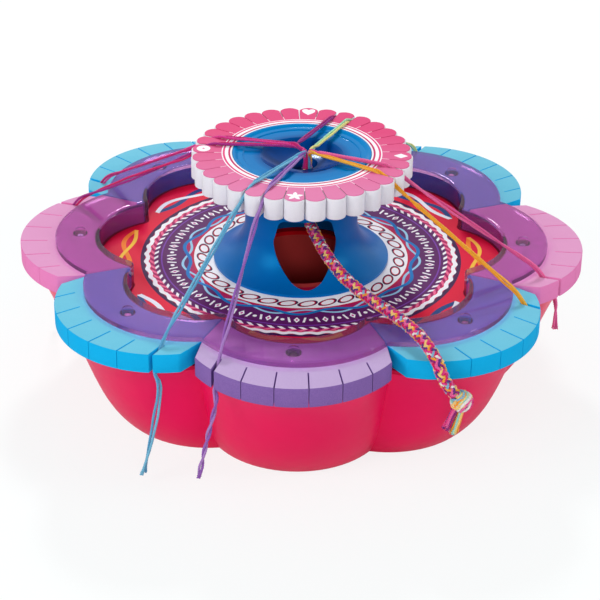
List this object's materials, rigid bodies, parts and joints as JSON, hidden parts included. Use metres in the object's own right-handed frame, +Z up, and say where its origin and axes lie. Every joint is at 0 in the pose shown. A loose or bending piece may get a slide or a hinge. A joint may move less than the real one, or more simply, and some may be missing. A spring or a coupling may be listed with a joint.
{
  "type": "kumihimo braiding machine",
  "caption": "Round braiding machine: a lobed tub with slotted foam petals and a clear ring, and a slotted foam disc that turns on a windowed dome, with a braid in work.",
  "frame": {"origin": "on the table under the machine's axis, at the middle of the underside", "axes": "+Z up along the disc's axis, -Y towards the front lobe, +X to the right"},
  "size_m": [0.2846, 0.2846, 0.1191],
  "materials": {
    "tub_plastic": "glossy moulded raspberry plastic",
    "deck_plastic": "moulded raspberry plastic, satin under the foam",
    "cup_plastic": "moulded raspberry plastic",
    "foam_blue": "closed-cell EVA foam, sky blue, fine matt skin",
    "foam_lilac": "closed-cell EVA foam, lilac, fine matt skin",
    "foam_pink": "closed-cell EVA foam, pink, fine matt skin",
    "foam_white": "closed-cell EVA foam, white, fine matt skin",
    "ring_clear": "clear purple polycarbonate, polished",
    "screw_steel": "zinc-plated self-tapping screws",
    "card_print": "printed card with ring bands, satin film",
    "dome_plastic": "glossy moulded blue plastic",
    "dish_plastic": "glossy moulded blue plastic",
    "spindle_plastic": "acetal, satin",
    "clip_steel": "spring steel clip",
    "face_print": "printed film on the foam disc, pink petals on white",
    "braid_cord": "round braid of cotton floss in eight colours",
    "floss_violet": "violet six-ply cotton floss, a pair of strands",
    "floss_orange": "orange six-ply cotton floss, a pair of strands",
    "floss_pink": "pink six-ply cotton floss, a pair of strands",
    "floss_mint": "mint six-ply cotton floss, a pair of strands",
    "floss_cerise": "cerise six-ply cotton floss, a pair of strands",
    "floss_magenta": "magenta six-ply cotton floss, a pair of strands",
    "floss_plum": "plum six-ply cotton floss, a pair of strands",
    "floss_blue": "blue six-ply cotton floss, a pair of strands"
  },
  "bodies": {
    "base": {"base_tub": "tub_plastic"},
    "top": {"deck_plate": "deck_plastic", "well_cup": "cup_plastic", "clear_ring": "ring_clear", "ring_screws": "screw_steel", "printed_card": "card_print", "dome": "dome_plastic", "foam_petal_front": "foam_lilac", "foam_petal_front_right": "foam_blue", "foam_petal_right": "foam_pink", "foam_petal_back_right": "foam_blue", "foam_petal_back": "foam_lilac", "foam_petal_back_left": "foam_blue", "foam_petal_left": "foam_pink", "foam_petal_front_left": "foam_blue", "thread_violet_foam": "floss_violet", "thread_orange_foam": "floss_orange", "thread_pink_foam": "floss_pink", "thread_mint_foam": "floss_mint", "thread_cerise_foam": "floss_cerise", "thread_magenta_foam": "floss_magenta", "thread_plum_foam": "floss_plum", "thread_blue_foam": "floss_blue", "braid": "braid_cord", "braid_knot": "braid_cord", "braid_tassel": "braid_cord"},
    "disc": {"spindle": "spindle_plastic", "spindle_clip": "clip_steel", "foam_disc": "foam_white", "disc_face": "face_print", "disc_dish": "dish_plastic", "thread_violet_disc": "floss_violet", "thread_orange_disc": "floss_orange", "thread_pink_disc": "floss_pink", "thread_mint_disc": "floss_mint", "thread_cerise_disc": "floss_cerise", "thread_magenta_disc": "floss_magenta", "thread_plum_disc": "floss_plum", "thread_blue_disc": "floss_blue"}
  },
  "joints": [
    {"name": "top_lift", "type": "slide", "parent": "base", "child": "top", "axis": [0, 0, 1], "range_m": [0, 0.09]},
    {"name": "disc_spin", "type": "hinge", "parent": "top", "child": "disc", "pos_m": [0, 0, 0.1], "axis": [0, 0, 1], "continuous": true, "deforming": ["thread_violet_foam", "thread_orange_foam", "thread_pink_foam", "thread_mint_foam", "thread_cerise_foam", "thread_magenta_foam", "thread_plum_foam", "thread_blue_foam"]}
  ]
}
